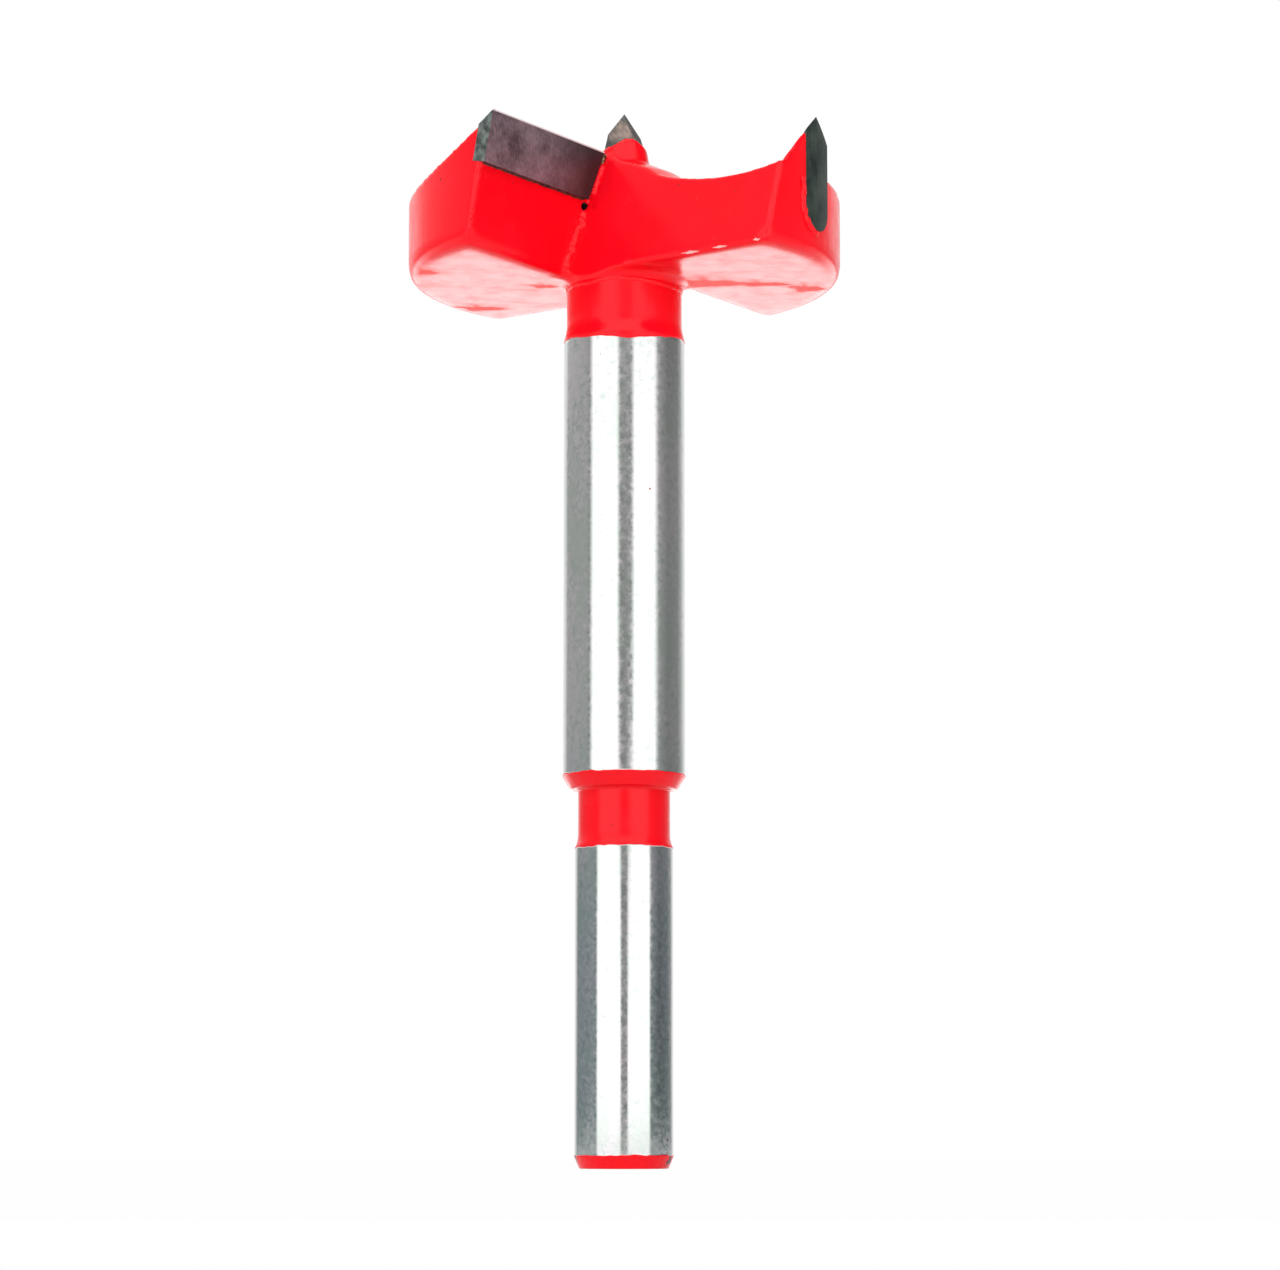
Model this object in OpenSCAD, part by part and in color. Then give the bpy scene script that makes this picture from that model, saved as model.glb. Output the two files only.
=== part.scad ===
// Carbide-tipped forstner bit with two wings.
// The bit stands on its shank end. +Z runs up the axis to the centre point, and the
// two main cutting edges lie along X. The bit cuts turning counter-clockwise seen from
// above the point. Millimetres.

/* [Shank] */
// Diameter of the shank, where a chuck grips
shank_d = 10; // [8:0.5:12]
// Length of the shank, from its end to the groove
shank_len = 32.4; // [25:0.1:45]
// Width of the chamfer around the shank end
shank_chamfer = 0.5; // [0.2:0.1:1.5]
// Height of the chamfer around the shank end
shank_chamfer_h = 1.3; // [0.4:0.1:3]

/* [Groove] */
// Depth of the groove below the shank
groove_depth = 0.35; // [0.2:0.05:1]
// Length of the groove, with its run-out
groove_len = 6; // [4:0.1:10]
// Height of the curved run-out from the shank into the groove
groove_runout = 1.8; // [1:0.1:3]

/* [Shaft] */
// Diameter of the shaft
shaft_d = 12.5; // [11:0.5:16]
// Length of the shaft, from the groove to the neck
shaft_len = 46.6; // [20:0.1:80]
// Width of the chamfer at the groove end of the shaft
shaft_chamfer = 0.8; // [0.3:0.1:1.2]
// Height of the chamfer at the groove end of the shaft
shaft_chamfer_h = 1.4; // [0.5:0.1:3]

/* [Neck] */
// Step from the shaft in to the neck
neck_step = 0.32; // [0.1:0.02:1]
// Length of the neck, from the shaft to the underside of the head
neck_len = 6.4; // [4:0.1:15]
// Height of the taper from the shaft to the neck
neck_taper_h = 1.4; // [0.5:0.1:2.5]
// Radius of the fillet between the neck and the head
neck_fillet = 1; // [0.5:0.1:1.5]

/* [Head] */
// Diameter of the hole that the bit bores
cutting_d = 45; // [38:0.5:60]
// Distance from the carbide's outer edge in to the steel rim
rim_relief = 0.1; // [0.1:0.05:0.5]
// Height from the underside of the head to the cutting edges
head_h = 13.2; // [11:0.1:18]
// Radius around the bottom edge of the rim
rim_edge_r = 1; // [0.4:0.1:1.5]
// Rake of the leading faces: how far they lean back going down, in degrees
rake = 12; // [6:1:16]
// Lean of the trailing walls towards the axis going up, in degrees
wall_lean = 14; // [8:1:15]
// Distance from the axis to the trailing wall, at the underside
hub_reach = 6.1; // [5.8:0.1:7]
// Radius of the hollow grind behind each cutting edge
relief_r = 27.5; // [24:0.5:32]
// Distance behind the cutting edge of the lowest line of the hollow grind
relief_back = 16; // [13:0.5:18]

/* [Main cutters] */
// Thickness of the carbide plate
cutter_t = 1.6; // [1.2:0.1:2.4]
// Height of the plate, along its face
cutter_h = 5.3; // [4:0.1:6.5]
// How far the plate stands in front of the wing's leading face
cutter_proud = 0.7; // [0.3:0.1:1]
// Distance from the other wing's trailing wall to the inner end of the plate
cutter_end_gap = 0.7; // [0.1:0.05:1]
// Diameter of the drilled corner under the inner end of the plate
corner_drill_d = 0.8; // [0.5:0.1:1.2]
// Distance from the plate down to the drilled corner
corner_drill_drop = 0.3; // [0.1:0.1:0.6]
// Depth of the drilled corner
corner_drill_depth = 1.5; // [0.5:0.1:2.5]

/* [Spurs] */
// Width of the tooth around the rim, and the diameter of its round foot
spur_w = 4.8; // [3.6:0.1:6]
// Thickness of the tooth towards the axis
spur_t = 2.8; // [2:0.1:3.5]
// Length of the tooth, from its foot to its tip
spur_len = 11.8; // [10:0.1:13]
// Height of the tip above the cutting edges
spur_rise = 1.3; // [0.6:0.1:2.5]
// Angle around the rim from the cutting edge to the tooth behind it
spur_angle = 83.8; // [80:0.2:88]
// Distance of the tip behind the middle of the tooth
spur_tip_back = 0.4; // [0:0.1:1]
// Slope of the top of the tooth and its pillar, in degrees
spur_slope = 38; // [36:1:46]
// Fall of the top of the tooth towards the axis, in degrees
spur_bevel = 46; // [30:1:50]
// Length of the pillar that backs the tooth
pillar_len = 3.2; // [2:0.1:4]
// Thickness of steel between the tooth and the inner side of its pillar
pillar_wall = 0.3; // [0.2:0.1:1.5]

/* [Centre point] */
// Width of the carbide bar
point_w = 3.8; // [2.8:0.1:4]
// Thickness of the carbide bar
point_t = 2.2; // [1.8:0.1:2.6]
// Height of the tip above the cutting edges
point_rise = 4.9; // [4:0.1:6]
// Depth of the bar's seat below the cutting edges
point_seat = 5; // [3:0.5:8]
// Turn of the bar from the line of the cutting edges, in degrees
point_turn = -28; // [-40:1:-10]
// Slope of the tip along the width of the bar, in degrees
point_slope_w = 52; // [45:1:56]
// Slope of the tip along the thickness of the bar, in degrees
point_slope_t = 60; // [50:1:65]
// Diameter of the collar around the bar, at its foot
collar_d = 5.2; // [5:0.1:6]
// Diameter of the collar at its top
collar_top_d = 4.4; // [4.2:0.1:4.9]
// Height of the collar's ridge above the cutting edges
collar_rise = 1.8; // [1:0.1:2]
// Slope of the collar's top away from its ridge, in degrees
collar_slope = 24; // [10:1:30]
// Turn of the collar's ridge from the Y axis, in degrees
collar_turn = -32; // [-45:1:-10]
// Diameter of the low hub around the collar, which the hollow grind leaves
hub_d = 12; // [11:0.1:13]
// Depth of the hub's rim below the cutting edges
hub_drop = 2.4; // [1.8:0.1:2.6]
// Slope of the hub's flank, from its rim down to the hollow grind, in degrees
hub_slope = 35; // [32:1:45]

/* [Fit] */
// Width of the braze seam around each carbide piece
braze_gap = 0.05; // [0.02:0.01:0.15]

/* [Hidden] */
$fn = 96;

// Heights along the axis, from the shank end
groove_z = shank_len;
shaft_z = groove_z + groove_len;
neck_z = shaft_z + shaft_len;
head_z = neck_z + neck_len;
edge_z = head_z + head_h;
spur_tip_z = edge_z + spur_rise;
point_tip_z = edge_z + point_rise;
collar_top_z = edge_z + collar_rise;

// Radii about the axis
shank_r = shank_d / 2;
groove_r = shank_r - groove_depth;
shaft_r = shaft_d / 2;
neck_r = shaft_r - neck_step;
cutting_r = cutting_d / 2;
rim_r = cutting_r - rim_relief;

// Hollow grind: it meets the cutting edge at edge_z, and its axis lies this much higher
relief_axis_up = sqrt(relief_r * relief_r - relief_back * relief_back);

// Depth of the collar's foot below the cutting edges
collar_drop = 0.8;
// Depth of the hub's foot below the cutting edges, inside the head
hub_foot = 4.8;
// Depth of a cutting block, larger than the head
reach = 2 * cutting_d;
// Overrun of a cut past the face that it opens
over = 1;

// Frame of a cutting edge: X out along the edge, Y out of the carbide's face, Z up the face
module at_edge() {
    translate([0, 0, edge_z])
        rotate([-rake, 0, 0])
            children();
}

// Frame of the trailing wall that faces +X: X out of the wall, Z up the wall, origin at the underside
module at_wall() {
    translate([hub_reach, 0, head_z])
        rotate([0, -wall_lean, 0])
            children();
}

// Frame of the tooth on the wing at -X: X out along its radius, Y in the cutting direction
module at_spur() {
    rotate(180 - spur_angle)
        children();
}

// A part and its twin, half a turn round the axis
module both() {
    for (turn = [0, 180])
        rotate(turn)
            children();
}

// Turned outline of the shank, groove, shaft and neck
module stem_outline() {
    polygon([
        [0, 0],
        [shank_r - shank_chamfer, 0],
        [shank_r, shank_chamfer_h],
        [shank_r, groove_z],
        [groove_r, groove_z + groove_runout],
        [groove_r, shaft_z],
        [shaft_r - shaft_chamfer, shaft_z],
        [shaft_r, shaft_z + shaft_chamfer_h],
        [shaft_r, neck_z],
        [neck_r, neck_z + neck_taper_h],
        [neck_r, head_z + over],
        [0, head_z + over]
    ]);
    difference() {
        translate([neck_r, head_z - neck_fillet])
            square([neck_fillet, neck_fillet + over]);
        translate([neck_r + neck_fillet, head_z - neck_fillet])
            circle(neck_fillet);
    }
}

// Turned outline of the head, with its rounded bottom edge
module head_outline() {
    translate([0, head_z])
        square([rim_r - rim_edge_r, head_h]);
    translate([0, head_z + rim_edge_r])
        square([rim_r, head_h - rim_edge_r]);
    translate([rim_r - rim_edge_r, head_z + rim_edge_r])
        circle(rim_edge_r);
}

// Open quarter in front of the wing at +X, between its leading face and the other wing's trailing wall
module flute() {
    intersection() {
        at_edge()
            translate([-reach / 2, -cutter_proud, -reach / 2])
                cube([reach, reach, reach]);
        at_wall()
            translate([0, -reach / 2, -reach / 2])
                cube([reach, reach, reach]);
        translate([0, 0, head_z - neck_fillet])
            difference() {
                translate([-reach / 2, -reach / 2, 0])
                    cube([reach, reach, reach]);
                cylinder(r = neck_r, h = neck_fillet);
            }
    }
}

// Drilled corner below the inner end of the plate on the wing at +X
module corner_drill() {
    drop = cutter_h + corner_drill_drop + corner_drill_d / 2;
    drill_z = edge_z - drop * cos(rake);
    wall_x = hub_reach - (drill_z - head_z) * tan(wall_lean);
    at_edge()
        translate([wall_x, -cutter_proud, -drop])
            rotate([90, 0, 0])
                translate([0, 0, -over])
                    cylinder(d = corner_drill_d, h = corner_drill_depth + over, $fn = 32);
}

// Hollow grind behind the cutting edge at +X
module relief() {
    translate([-reach / 2, -relief_back, edge_z + relief_axis_up])
        rotate([0, 90, 0])
            cylinder(r = relief_r, h = reach);
}

// Plate of a main cutter before its top is ground, grown by a seam
module cutter_blank(seam) {
    intersection() {
        at_edge()
            translate([0, -cutter_t - seam, -cutter_h - seam])
                cube([cutting_d, cutter_t + 2 * seam, cutter_h + 2 * seam + over]);
        at_wall()
            translate([cutter_end_gap - seam, -reach / 2, -reach / 2])
                cube([reach, reach, reach]);
    }
}

// Carbide plate on the wing at +X
module main_cutter() {
    difference() {
        intersection() {
            cutter_blank(0);
            cylinder(r = cutting_r, h = 2 * edge_z);
        }
        relief();
    }
}

// Flat side of a tooth, grown by a seam: a strip with a round foot
module spur_side(seam) {
    foot_z = spur_tip_z - spur_len + spur_w / 2;
    translate([0, foot_z])
        circle(spur_w / 2 + seam);
    translate([-spur_w / 2 - seam, foot_z])
        square([spur_w + 2 * seam, spur_len]);
}

// Tooth before its top is ground, grown by a seam
module spur_blank(seam) {
    at_spur()
        translate([cutting_r - spur_t - seam, 0, 0])
            rotate([90, 0, 90])
                linear_extrude(spur_t + 2 * over)
                    spur_side(seam);
}

// Ground top of a tooth and its pillar: the trailing slope with side = -1, the leading slope with side = 1
module spur_top(side) {
    at_spur()
        translate([cutting_r, -spur_tip_back, spur_tip_z])
            rotate([-side * spur_slope, 0, 0])
                rotate([0, -spur_bevel, 0])
                    translate([-reach / 2, -reach / 2, 0])
                        cube([reach, reach, reach]);
}

// Carbide tooth at the trailing corner of the wing at -X
module spur() {
    difference() {
        intersection() {
            spur_blank(0);
            cylinder(r = cutting_r, h = 2 * edge_z);
        }
        spur_top(-1);
        spur_top(1);
    }
}

// Steel pillar that backs a tooth on its trailing side
module pillar() {
    inner_r = cutting_r - spur_t - pillar_wall;
    back = spur_w / 2 + pillar_len;
    difference() {
        intersection() {
            at_spur()
                translate([inner_r, -back, head_z + rim_edge_r])
                    cube([spur_t + pillar_wall, back, spur_tip_z - head_z]);
            cylinder(r = rim_r, h = 2 * edge_z);
        }
        spur_top(-1);
    }
}

// Carbide bar on the axis before its tip is ground, grown by a seam
module point_blank(seam) {
    rotate(point_turn)
        translate([-point_w / 2 - seam, -point_t / 2 - seam, edge_z - point_seat - seam])
            cube([point_w + 2 * seam, point_t + 2 * seam, point_seat + point_rise + over]);
}

// The four ground faces of the tip
module point_faces() {
    fall_w = tan(point_slope_w);
    fall_t = tan(point_slope_t);
    steepest = atan(sqrt(fall_w * fall_w + fall_t * fall_t));
    facing = atan2(fall_t, fall_w);
    for (azimuth = [facing, 180 - facing, 180 + facing, -facing])
        translate([0, 0, point_tip_z])
            rotate([0, steepest, point_turn + azimuth])
                translate([-reach / 2, -reach / 2, 0])
                    cube([reach, reach, reach]);
}

// Turned outline of the collar around the bar and the low hub that carries it
module collar_outline() {
    foot_r = hub_d / 2 + (hub_foot - hub_drop) / tan(hub_slope);
    polygon([
        [0, edge_z - hub_foot],
        [foot_r, edge_z - hub_foot],
        [hub_d / 2, edge_z - hub_drop],
        [collar_d / 2, edge_z - collar_drop],
        [collar_top_d / 2, collar_top_z],
        [0, collar_top_z]
    ]);
}

// Steel collar around the bar, with a ridged top, on its hub
module collar() {
    rotate(collar_turn)
        difference() {
            rotate_extrude()
                collar_outline();
            for (side = [-1, 1])
                translate([0, 0, collar_top_z])
                    rotate([0, side * collar_slope, 0])
                        translate([-reach / 2, -reach / 2, 0])
                            cube([reach, reach, reach]);
        }
}

// One piece of steel: shank, groove, shaft, neck and winged head
module body() {
    color("firebrick")
        difference() {
            union() {
                difference() {
                    union() {
                        difference() {
                            rotate_extrude() {
                                stem_outline();
                                head_outline();
                            }
                            both()
                                relief();
                        }
                        collar();
                    }
                    both()
                        flute();
                }
                both()
                    pillar();
            }
            both() {
                cutter_blank(braze_gap);
                corner_drill();
                spur_blank(braze_gap);
            }
            point_blank(braze_gap);
        }
}

module main_cutter_a() {
    color("dimgray")
        main_cutter();
}

module main_cutter_b() {
    color("dimgray")
        rotate(180)
            main_cutter();
}

module spur_a() {
    color("dimgray")
        rotate(180)
            spur();
}

module spur_b() {
    color("dimgray")
        spur();
}

module centre_point() {
    color("dimgray")
        difference() {
            point_blank(0);
            point_faces();
        }
}

body();
main_cutter_a();
main_cutter_b();
spur_a();
spur_b();
centre_point();
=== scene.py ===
import math

import bmesh
import bpy
from mathutils import Matrix, Vector, noise


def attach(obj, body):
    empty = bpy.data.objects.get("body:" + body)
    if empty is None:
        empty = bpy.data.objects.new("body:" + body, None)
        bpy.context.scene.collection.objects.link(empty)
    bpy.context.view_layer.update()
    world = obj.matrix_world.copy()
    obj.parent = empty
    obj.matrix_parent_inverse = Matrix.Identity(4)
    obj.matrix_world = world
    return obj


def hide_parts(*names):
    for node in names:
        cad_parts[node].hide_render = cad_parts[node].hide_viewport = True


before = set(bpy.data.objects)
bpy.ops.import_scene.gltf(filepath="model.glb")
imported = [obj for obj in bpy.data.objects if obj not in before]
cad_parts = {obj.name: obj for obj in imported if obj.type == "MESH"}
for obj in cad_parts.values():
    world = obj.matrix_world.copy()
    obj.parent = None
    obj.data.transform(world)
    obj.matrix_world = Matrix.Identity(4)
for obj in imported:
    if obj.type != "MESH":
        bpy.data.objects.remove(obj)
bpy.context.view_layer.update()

MM = 0.001
CARBIDES = ("main_cutter_a", "main_cutter_b", "spur_a", "spur_b", "centre_point")

# Sizes of the bit that the finish follows, in millimetres, as in the part's source
SHANK_R = 5.0
SHANK_LEN = 32.4
SHANK_CHAMFER = 0.5
SHANK_CHAMFER_H = 1.3
GROOVE_R = 4.65
GROOVE_RUNOUT = 1.8
GROOVE_FILLET = 0.35
SHAFT_R = 6.25
SHAFT_Z = 38.4
SHAFT_CHAMFER = 0.8
SHAFT_CHAMFER_H = 1.4
NECK_Z = 85.0
NECK_R = 5.93
HEAD_Z = 91.4
EDGE_Z = 104.6
RIM_R = 22.4
RAKE = math.radians(12)
WALL_LEAN = math.radians(14)
HUB_REACH = 6.1
PLATE_H = 5.3
PLATE_PROUD = 0.7
PLATE_END_GAP = 0.7
SPUR_TURN = math.radians(96.2)
SPUR_HALF_W = 2.4
SPUR_FOOT_Z = 96.5
HOLE_DROP = 6.0
HOLE_DEPTH = 1.5

# Drill that clears paint from the hole below each plate: a little wider than the hole and aside from it
HOLE_R = 0.46
HOLE_ASIDE = 0.22
HOLE_FRONT = 0.15
HOLE_SIDES = 32

# Paint: its thickness over the steel, and the grid and passes that round the painted edges
PAINT_T = 0.04
PAINT_GRID = 0.23
PAINT_PASSES = 6
CORNER_REACH = 1.6
CORNER_PASSES = 46
CORNER_START = 7.2
UNDER_REACH = 1.5
UNDER_PASSES = 30
UNDER_START = SHAFT_R + 1.2
CARBIDE_INSET = 0.12
WELD = 1e-7

# Lower edge of the paint on the neck: spare length before the cut, runs, reach, slope and closed lip
NECK_SPARE = 2
NECK_RUN = 0.7
NECK_RUN_TURN = math.radians(35)
NECK_REACH = 2.0
NECK_SLOPE = 0.3
LIP_IN = 0.1
LIP_DROP = 0.03

# Wavy edges of the paint: height of the waves, and the grain of the coarse and the fine ones
EDGE_WAVE = 0.16
COARSE_WAVE = 2.2
FINE_WAVE = 7
FINE_SHIFT = 9
FINE_SHARE = 0.5

# Turned stem: its segments, supporting rings, rolled paint edges, and the materials of its bands
SEGMENTS = 192
SUPPORT = 0.1
LONG_BAND = 4 * SUPPORT
GROOVE_STEPS = 6
CORNER_IN = 0.1
CORNER_H = 0.06
END_PAINT_T = 0.03
ROLL_IN = 0.02
ROLL_H = 0.1
STEP_H = 0.05
PAINTED = 0
BARE = 1

# Top of the bare steel, under the paint of the neck: how far in from the shaft and above the neck's edge
STEM_TOP = ((0, -0.35), (0.05, 0), (0.15, 0.4), (1, 1))

# Beads: their sides, the grain of their ragged surface, and the taper from their tips
BEAD_SIDES = 10
BEAD_GRAIN = 1.7
BEAD_GRAIN_ROUND = 0.6
BEAD_TIP = 0.08
BEAD_TAPER = 0.3

# Colours of the paint, the steel and the carbide
PAINT_DEEP = (0.9, 0.0012, 0.008)
PAINT_BRIGHT = (0.98, 0.0028, 0.013)
# Lighter red of the painted reflections streaked on the undersides
UNDERSIDE_REFLECTION_RED = (1.0, 0.05, 0.04)
PAINT_PIT = (0.09, 0.012, 0.012)
PAINT_IOR = 1.3
DARK_CHIP = (0.05, 0.02, 0.02)
# Pale pink of painted highlights, short dashes along the bottom edge of a trailing wall
PAINTED_HIGHLIGHT_PINK = (0.8, 0.45, 0.42)
STEEL_DARK = (0.45, 0.49, 0.47)
STEEL_MID = (0.6, 0.61, 0.6)
STEEL_LIGHT = (0.7, 0.66, 0.69)
STEEL_GREEN = (0.52, 0.575, 0.535)
STEEL_PINK = (0.66, 0.62, 0.645)
STEEL_FLECK = (0.3, 0.06, 0.06)
# Painted highlight along the top edge of a plate
PLATE_EDGE_HIGHLIGHT = (0.85, 0.78, 0.78)
WORN_DARK = (0.2, 0.155, 0.135)
WORN_LIGHT = (0.4, 0.31, 0.27)

# Ways that the painted reflection streaks, and the chips and painted highlights in the paint, are
# stretched, in plan
STREAK_TURN = math.radians(125.4)
CHIP_AND_HIGHLIGHT_TURN = math.radians(90)

# Chips in the paint, dark where it is worn, and pale painted highlights along the bottom edge of a trailing
# wall: centre and half width in millimetres, length for its width, and tone
CHIPS_AND_HIGHLIGHTS = (
    ((-1.26, 4.65, 0.85), 0.5, 1.0, DARK_CHIP),
    ((3.75, -3.3, 1.0), 0.36, 1.0, DARK_CHIP),
    ((4.4, 21.5, 96.3), 0.16, 1.0, DARK_CHIP),
    ((5.85, 12.3, 91.62), 0.12, 8.0, PAINTED_HIGHLIGHT_PINK),
    ((5.85, 15.9, 91.66), 0.1, 8.0, PAINTED_HIGHLIGHT_PINK),
    ((5.8, 20.3, 91.8), 0.14, 3.0, PAINTED_HIGHLIGHT_PINK),
)

# Painted reflections on the undersides, patches of lighter red with less gloss: centre and half width in
# millimetres, and length for its width
REFLECTION_PATCHES = (
    ((-4.6, 7.4, HEAD_Z), 2.4, 1.9),
    ((-8.2, 11.6, HEAD_Z), 1.4, 2.6),
    ((-12.5, 14.5, HEAD_Z), 2.0, 1.1),
    ((0.0, -18.9, HEAD_Z), 1.5, 2.1),
    ((4.0, -7.5, HEAD_Z), 1.2, 1.4),
    ((16.0, -14.2, HEAD_Z), 1.8, 1.1),
)

# Pale worn spots on the centre point: their centres and half width in millimetres
WORN_SPOTS = ((0.93, 0.42, 107.2), (-0.93, -0.42, 107.2))
WORN_SIZE = 1.15

# Width of the bevel on the edges of the carbides
GROUND_EDGE = 0.06


def add_node(tree, kind, sockets=None, **settings):
    """Adds a shader node; a socket's value is either a constant or another node's output."""
    made = tree.nodes.new(kind)
    for key, value in settings.items():
        setattr(made, key, value)
    for key, value in (sockets or {}).items():
        if isinstance(value, bpy.types.NodeSocket):
            tree.links.new(value, made.inputs[key])
        else:
            made.inputs[key].default_value = value
    return made


def new_material(name):
    """A material with an empty tree, its principled shader and its coordinates in millimetres."""
    made = bpy.data.materials.new(name)
    made.use_nodes = True
    tree = made.node_tree
    tree.nodes.clear()
    shader = add_node(tree, "ShaderNodeBsdfPrincipled")
    out = add_node(tree, "ShaderNodeOutputMaterial")
    tree.links.new(shader.outputs["BSDF"], out.inputs["Surface"])
    place = add_node(tree, "ShaderNodeTexCoord").outputs["Object"]
    in_mm = add_node(tree, "ShaderNodeVectorMath", {0: place, "Scale": 1 / MM}, operation="SCALE")
    return made, tree, shader, in_mm.outputs["Vector"]


def noise_of(tree, place, scale, detail=3.0, roughness=0.5, stretch=(1, 1, 1), turn=(0, 0, 0)):
    """Noise of that scale per millimetre, stretched along the axes of a turned frame."""
    spot = add_node(
        tree,
        "ShaderNodeMapping",
        {"Vector": place, "Rotation": turn, "Scale": stretch},
        vector_type="TEXTURE",
    )
    made = add_node(
        tree,
        "ShaderNodeTexNoise",
        {"Vector": spot.outputs["Vector"], "Scale": scale, "Detail": detail, "Roughness": roughness},
    )
    return made.outputs["Fac"]


def ramp(tree, fac, stops):
    """A colour ramp through stops of (place, colour)."""
    made = add_node(tree, "ShaderNodeValToRGB", {"Fac": fac})
    elements = made.color_ramp.elements
    while len(elements) < len(stops):
        elements.new(0.5)
    for element, (place, colour) in zip(elements, stops):
        element.position = place
        element.color = (*colour, 1)
    return made.outputs["Color"]


def span(tree, value, low, high, to_low=0.0, to_high=1.0):
    """Maps low..high to to_low..to_high, clamped."""
    made = add_node(
        tree,
        "ShaderNodeMapRange",
        {"Value": value, "From Min": low, "From Max": high, "To Min": to_low, "To Max": to_high},
    )
    return made.outputs["Result"]


def maths(tree, operation, a, b=0.0):
    """One step of arithmetic between values."""
    return add_node(tree, "ShaderNodeMath", {0: a, 1: b}, operation=operation).outputs["Value"]


def blend(tree, fac, a, b):
    """Colour a where fac is 0, b where it is 1."""
    made = add_node(tree, "ShaderNodeMix", {"Factor": fac}, data_type="RGBA")
    for key, value in ((6, a), (7, b)):
        if isinstance(value, bpy.types.NodeSocket):
            tree.links.new(value, made.inputs[key])
        else:
            made.inputs[key].default_value = (*value, 1)
    return made.outputs[2]


def bump(tree, shader, height, depth):
    """Sets a bump of that depth in millimetres."""
    made = add_node(
        tree,
        "ShaderNodeBump",
        {"Height": height, "Strength": 1.0, "Distance": depth * MM},
    )
    tree.links.new(made.outputs["Normal"], shader.inputs["Normal"])


def specks(tree, place, per_mm, size, share):
    """1 inside small round specks, in that share of the cells of a grid of per_mm cells."""
    cells = add_node(
        tree,
        "ShaderNodeTexVoronoi",
        {"Vector": place, "Scale": per_mm, "Randomness": 1.0},
    )
    rim = 0.15
    near = span(tree, cells.outputs["Distance"], size * (1 + rim), size * (1 - rim))
    kind = add_node(tree, "ShaderNodeSeparateColor", {"Color": cells.outputs["Color"]})
    chosen = maths(tree, "GREATER_THAN", kind.outputs["Red"], 1 - share)
    return maths(tree, "MULTIPLY", near, chosen)


def patch(tree, place, centre, size, stretch, turn, soft):
    """1 inside a ragged patch round a centre, in millimetres, stretched in a direction in plan."""
    spot = add_node(
        tree,
        "ShaderNodeMapping",
        {"Vector": place, "Location": centre, "Rotation": (0, 0, turn), "Scale": (stretch, 1, 1)},
        vector_type="TEXTURE",
    ).outputs["Vector"]
    far = add_node(tree, "ShaderNodeVectorMath", {0: spot}, operation="LENGTH").outputs["Value"]
    ragged = span(tree, noise_of(tree, spot, 1 / size), 0.3, 0.7, -0.5 * size, 0.5 * size)
    return span(tree, maths(tree, "ADD", far, ragged), size * (1 + soft), size * (1 - soft))


def red_paint():
    """Thick glossy red paint with small dark pits, chips and painted highlights; on the undersides, painted
    reflections as streaks of lighter red with less gloss.
    """
    made, tree, shader, place = new_material("red_paint")
    depth = noise_of(tree, place, 0.11)
    red = ramp(tree, depth, [(0.3, PAINT_DEEP), (0.7, PAINT_BRIGHT)])
    surface = add_node(tree, "ShaderNodeNewGeometry")
    facing = add_node(tree, "ShaderNodeSeparateXYZ", {"Vector": surface.outputs["True Normal"]})
    under = span(tree, facing.outputs["Z"], -0.8, -0.97)
    lie = (0, 0, STREAK_TURN)
    streaks = noise_of(tree, place, 0.5, detail=4.0, roughness=0.6, stretch=(4, 1, 1), turn=lie)
    patches = noise_of(tree, place, 0.09, detail=2.0)
    streaks = maths(tree, "ADD", streaks, span(tree, patches, 0.35, 0.65, to_low=-0.1, to_high=0.1))
    # Painted reflections: streaks and patches of lighter red with less gloss, only on faces that look down
    painted_reflection = span(tree, streaks, 0.5, 0.68, to_high=0.6)
    for centre, size, stretch in REFLECTION_PATCHES:
        reflection_patch = patch(tree, place, centre, size, stretch, STREAK_TURN, soft=0.35)
        painted_reflection = maths(tree, "MAXIMUM", painted_reflection, reflection_patch)
    painted_reflection = maths(tree, "MULTIPLY", under, painted_reflection)
    red = blend(tree, painted_reflection, red, UNDERSIDE_REFLECTION_RED)
    pits = specks(tree, place, per_mm=0.42, size=0.05, share=0.3)
    red = blend(tree, pits, red, PAINT_PIT)
    # Dark chips of worn paint, and pale dashes that are painted highlights
    for centre, size, stretch, tone in CHIPS_AND_HIGHLIGHTS:
        chip_or_highlight = patch(tree, place, centre, size, stretch, CHIP_AND_HIGHLIGHT_TURN, soft=0.05)
        red = blend(tree, chip_or_highlight, red, tone)
    tree.links.new(red, shader.inputs["Base Color"])
    haze = noise_of(tree, place, 0.5, detail=4.0)
    tree.links.new(span(tree, haze, 0.35, 0.7, to_low=0.17, to_high=0.28), shader.inputs["Roughness"])
    shader.inputs["IOR"].default_value = PAINT_IOR
    gloss = span(tree, painted_reflection, 0.0, 1.0, to_low=0.5, to_high=0.015)
    tree.links.new(gloss, shader.inputs["Specular IOR Level"])
    bump(tree, shader, noise_of(tree, place, 0.45, detail=2.0), 0.012)
    return made


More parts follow.
